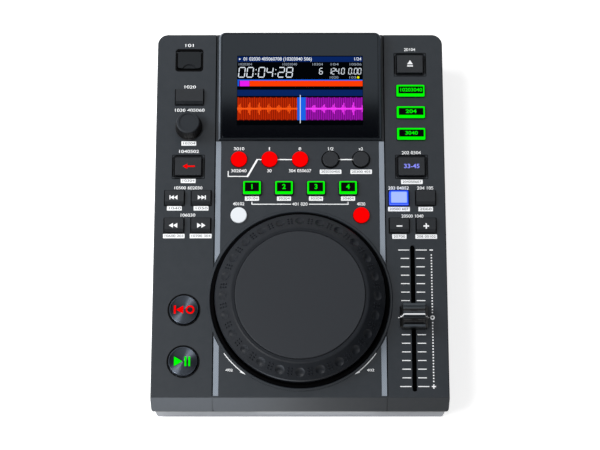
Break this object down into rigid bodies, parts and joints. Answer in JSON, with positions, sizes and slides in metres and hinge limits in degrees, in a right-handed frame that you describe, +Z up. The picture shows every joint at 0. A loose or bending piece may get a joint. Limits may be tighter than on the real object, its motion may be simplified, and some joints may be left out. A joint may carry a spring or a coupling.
{
  "type": "tabletop dj media player",
  "caption": "Tabletop player for disc jockeys with a jog wheel, tilted colour screen, lit keys in three columns, select knob, pitch fader and a USB port under a flap.",
  "frame": {"origin": "on the table, at the bottom centre of the object's box", "axes": "+Z up, +Y to the rear sockets, +X to the pitch fader's side; the user stands at -Y"},
  "size_m": [0.218, 0.289, 0.0633],
  "materials": {
    "housing": "dark grey, satin, finely textured",
    "base_tray": "silver grey, satin",
    "riser": "black, glossy",
    "lens": "dark acrylic, polished, lit by the display under it",
    "display": "colour display, lit",
    "trim": "grey, fine dotted texture",
    "well": "black, glossy",
    "jog_ring": "dark grey, satin, dimpled",
    "jog_plate": "dark grey anodised, turned",
    "steel": "plain steel",
    "bronze": "sintered bronze",
    "board": "green circuit board",
    "socket": "black moulded",
    "foot": "black rubber",
    "key_dark": "dark grey, satin",
    "key_red": "red, lit from behind",
    "key_white": "white, lit from behind",
    "key_green": "black with a green lit border",
    "key_blue": "blue, lit from behind",
    "key_metal": "spun, dark",
    "knob": "soft touch, fluted"
  },
  "bodies": {
    "console": {"top_housing": "housing", "base_housing": "base_tray", "usb_frame": "socket", "screen_bezel": "riser", "screen_lens": "lens", "lcd_module": "display", "trim_strips": "trim", "jog_well": "well", "jog_bush": "bronze", "jog_bracket": "steel", "main_board": "board", "control_boards": "board", "switch_bodies": "socket", "fader_body": "steel", "usb_socket": "steel", "rca_jacks": "steel", "usb_b_socket": "steel", "dc_jack": "socket", "select_encoder": "steel", "rubber_feet": "foot", "case_screws": "steel"},
    "jog_wheel": {"jog_rim": "jog_ring", "jog_plate": "jog_plate", "jog_shaft": "steel", "encoder_disc": "socket"},
    "pitch_slider": {"fader_cap": "key_dark", "fader_lever": "steel"},
    "select_press": {"select_plunger": "bronze"},
    "select_dial": {"select_knob": "knob", "select_shaft": "steel"},
    "usb_door": {"usb_flap": "key_dark"},
    "power_key": {"power_button": "key_dark"},
    "back_key": {"back_button": "key_dark"},
    "direction_key": {"direction_button": "key_dark"},
    "track_back_key": {"track_back_button": "key_dark"},
    "track_next_key": {"track_next_button": "key_dark"},
    "search_back_key": {"search_back_button": "key_dark"},
    "search_forward_key": {"search_forward_button": "key_dark"},
    "cue_key": {"cue_button": "key_metal"},
    "play_key": {"play_button": "key_metal"},
    "auto_loop_key": {"auto_loop_button": "key_red"},
    "loop_in_key": {"loop_in_button": "key_red"},
    "loop_out_key": {"loop_out_button": "key_red"},
    "loop_half_key": {"loop_half_button": "key_dark"},
    "loop_double_key": {"loop_double_button": "key_dark"},
    "hot_cue_1_key": {"hot_cue_1_button": "key_green"},
    "hot_cue_2_key": {"hot_cue_2_button": "key_green"},
    "hot_cue_3_key": {"hot_cue_3_button": "key_green"},
    "hot_cue_4_key": {"hot_cue_4_button": "key_green"},
    "shift_key": {"shift_button": "key_white"},
    "slip_key": {"slip_button": "key_red"},
    "eject_key": {"eject_button": "key_dark"},
    "settings_key": {"settings_button": "key_green"},
    "source_key": {"source_button": "key_green"},
    "control_mode_key": {"control_mode_button": "key_green"},
    "jog_mode_key": {"jog_mode_button": "key_dark"},
    "key_lock_key": {"key_lock_button": "key_blue"},
    "tempo_tap_key": {"tempo_tap_button": "key_dark"},
    "bend_down_key": {"bend_down_button": "key_dark"},
    "bend_up_key": {"bend_up_button": "key_dark"}
  },
  "joints": [
    {"name": "jog_spin", "type": "hinge", "parent": "console", "child": "jog_wheel", "pos_m": [0, -0.0634, 0.024], "axis": [0, 0, 1], "continuous": true},
    {"name": "pitch_slide", "type": "slide", "parent": "console", "child": "pitch_slider", "axis": [0, 1, 0], "range_m": [-0.05, 0.05]},
    {"name": "select_push", "type": "slide", "parent": "console", "child": "select_press", "axis": [0, 0, -1], "range_m": [0, 0.0005], "stiffness_N_per_m": 2500},
    {"name": "select_turn", "type": "hinge", "parent": "select_press", "child": "select_dial", "pos_m": [-0.084, 0.0695, 0.0466], "axis": [0, 0, 1], "continuous": true},
    {"name": "usb_door_hinge", "type": "hinge", "parent": "console", "child": "usb_door", "pos_m": [-0.0846, 0.1299, 0.0453], "axis": [-1, 0, 0], "range_deg": [0, 100]},
    {"name": "power_push", "type": "slide", "parent": "console", "child": "power_key", "axis": [0, -1, 0], "range_m": [0, 0.0018], "stiffness_N_per_m": 900},
    {"name": "back_press", "type": "slide", "parent": "console", "child": "back_key", "axis": [0, 0, -1], "range_m": [0, 0.0006], "stiffness_N_per_m": 1500},
    {"name": "direction_press", "type": "slide", "parent": "console", "child": "direction_key", "axis": [0, 0, -1], "range_m": [0, 0.0008], "stiffness_N_per_m": 1500},
    {"name": "track_back_press", "type": "slide", "parent": "console", "child": "track_back_key", "axis": [0, 0, -1], "range_m": [0, 0.0006], "stiffness_N_per_m": 1500},
    {"name": "track_next_press", "type": "slide", "parent": "console", "child": "track_next_key", "axis": [0, 0, -1], "range_m": [0, 0.0006], "stiffness_N_per_m": 1500},
    {"name": "search_back_press", "type": "slide", "parent": "console", "child": "search_back_key", "axis": [0, 0, -1], "range_m": [0, 0.0006], "stiffness_N_per_m": 1500},
    {"name": "search_forward_press", "type": "slide", "parent": "console", "child": "search_forward_key", "axis": [0, 0, -1], "range_m": [0, 0.0006], "stiffness_N_per_m": 1500},
    {"name": "cue_press", "type": "slide", "parent": "console", "child": "cue_key", "axis": [0, 0, -1], "range_m": [0, 0.0012], "stiffness_N_per_m": 1500},
    {"name": "play_press", "type": "slide", "parent": "console", "child": "play_key", "axis": [0, 0, -1], "range_m": [0, 0.0012], "stiffness_N_per_m": 1500},
    {"name": "auto_loop_press", "type": "slide", "parent": "console", "child": "auto_loop_key", "axis": [0, 0, -1], "range_m": [0, 0.0006], "stiffness_N_per_m": 1500},
    {"name": "loop_in_press", "type": "slide", "parent": "console", "child": "loop_in_key", "axis": [0, 0, -1], "range_m": [0, 0.0006], "stiffness_N_per_m": 1500},
    {"name": "loop_out_press", "type": "slide", "parent": "console", "child": "loop_out_key", "axis": [0, 0, -1], "range_m": [0, 0.0006], "stiffness_N_per_m": 1500},
    {"name": "loop_half_press", "type": "slide", "parent": "console", "child": "loop_half_key", "axis": [0, 0, -1], "range_m": [0, 0.0006], "stiffness_N_per_m": 1500},
    {"name": "loop_double_press", "type": "slide", "parent": "console", "child": "loop_double_key", "axis": [0, 0, -1], "range_m": [0, 0.0006], "stiffness_N_per_m": 1500},
    {"name": "hot_cue_1_press", "type": "slide", "parent": "console", "child": "hot_cue_1_key", "axis": [0, 0, -1], "range_m": [0, 0.001], "stiffness_N_per_m": 1500},
    {"name": "hot_cue_2_press", "type": "slide", "parent": "console", "child": "hot_cue_2_key", "axis": [0, 0, -1], "range_m": [0, 0.001], "stiffness_N_per_m": 1500},
    {"name": "hot_cue_3_press", "type": "slide", "parent": "console", "child": "hot_cue_3_key", "axis": [0, 0, -1], "range_m": [0, 0.001], "stiffness_N_per_m": 1500},
    {"name": "hot_cue_4_press", "type": "slide", "parent": "console", "child": "hot_cue_4_key", "axis": [0, 0, -1], "range_m": [0, 0.001], "stiffness_N_per_m": 1500},
    {"name": "shift_press", "type": "slide", "parent": "console", "child": "shift_key", "axis": [0, 0, -1], "range_m": [0, 0.0006], "stiffness_N_per_m": 1500},
    {"name": "slip_press", "type": "slide", "parent": "console", "child": "slip_key", "axis": [0, 0, -1], "range_m": [0, 0.0006], "stiffness_N_per_m": 1500},
    {"name": "eject_press", "type": "slide", "parent": "console", "child": "eject_key", "axis": [0, 0, -1], "range_m": [0, 0.0008], "stiffness_N_per_m": 1500},
    {"name": "settings_press", "type": "slide", "parent": "console", "child": "settings_key", "axis": [0, 0, -1], "range_m": [0, 0.0006], "stiffness_N_per_m": 1500},
    {"name": "source_press", "type": "slide", "parent": "console", "child": "source_key", "axis": [0, 0, -1], "range_m": [0, 0.0006], "stiffness_N_per_m": 1500},
    {"name": "control_mode_press", "type": "slide", "parent": "console", "child": "control_mode_key", "axis": [0, 0, -1], "range_m": [0, 0.0006], "stiffness_N_per_m": 1500},
    {"name": "jog_mode_press", "type": "slide", "parent": "console", "child": "jog_mode_key", "axis": [0, 0, -1], "range_m": [0, 0.0008], "stiffness_N_per_m": 1500},
    {"name": "key_lock_press", "type": "slide", "parent": "console", "child": "key_lock_key", "axis": [0, 0, -1], "range_m": [0, 0.0006], "stiffness_N_per_m": 1500},
    {"name": "tempo_tap_press", "type": "slide", "parent": "console", "child": "tempo_tap_key", "axis": [0, 0, -1], "range_m": [0, 0.0006], "stiffness_N_per_m": 1500},
    {"name": "bend_down_press", "type": "slide", "parent": "console", "child": "bend_down_key", "axis": [0, 0, -1], "range_m": [0, 0.0006], "stiffness_N_per_m": 1500},
    {"name": "bend_up_press", "type": "slide", "parent": "console", "child": "bend_up_key", "axis": [0, 0, -1], "range_m": [0, 0.0006], "stiffness_N_per_m": 1500}
  ]
}
